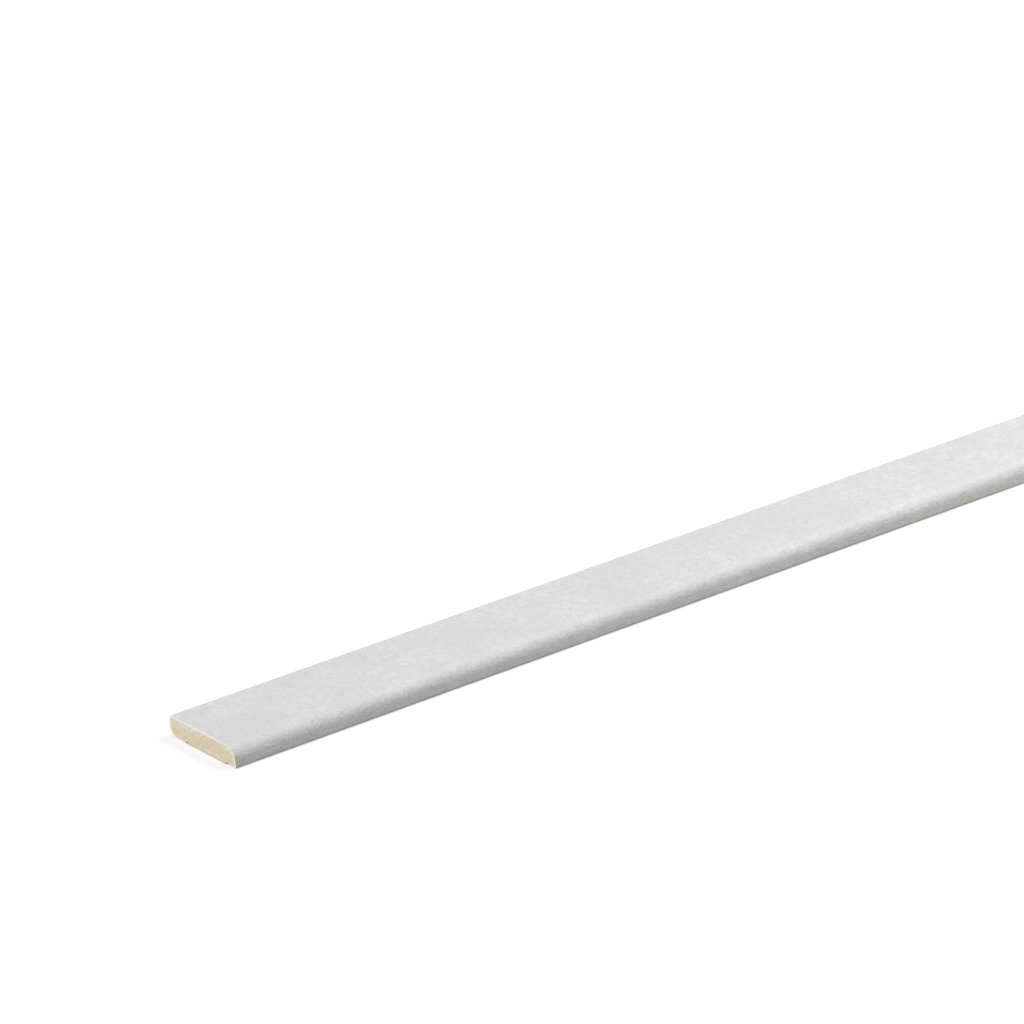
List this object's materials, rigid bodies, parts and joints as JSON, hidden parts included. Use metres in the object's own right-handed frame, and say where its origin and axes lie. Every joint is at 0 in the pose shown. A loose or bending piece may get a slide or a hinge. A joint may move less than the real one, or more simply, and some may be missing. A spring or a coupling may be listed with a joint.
{
  "type": "self-adhesive skirting board",
  "caption": "Slim foil-wrapped fibreboard skirting strip with one rounded edge and an adhesive back, for hiding the joint between floor and wall",
  "frame": {"origin": "middle of the strip's back, in the plane of the release liner and of the foil returns", "axes": "+X runs along the strip, +Y across the face from the rounded edge to the floor edge, +Z from the back to the decor face"},
  "size_m": [2.4, 0.024, 0.005],
  "materials": {
    "fibreboard": "sawn fibreboard, fine pale fibres",
    "decor_foil": "matt light grey concrete look with a faint cloudy mottle",
    "adhesive": "soft white mounting tape",
    "liner_paper": "smooth siliconised paper"
  },
  "bodies": {
    "root": {"mdf_core": "fibreboard", "decor_foil": "decor_foil", "adhesive_tape": "adhesive", "release_liner": "liner_paper"}
  },
  "joints": []
}
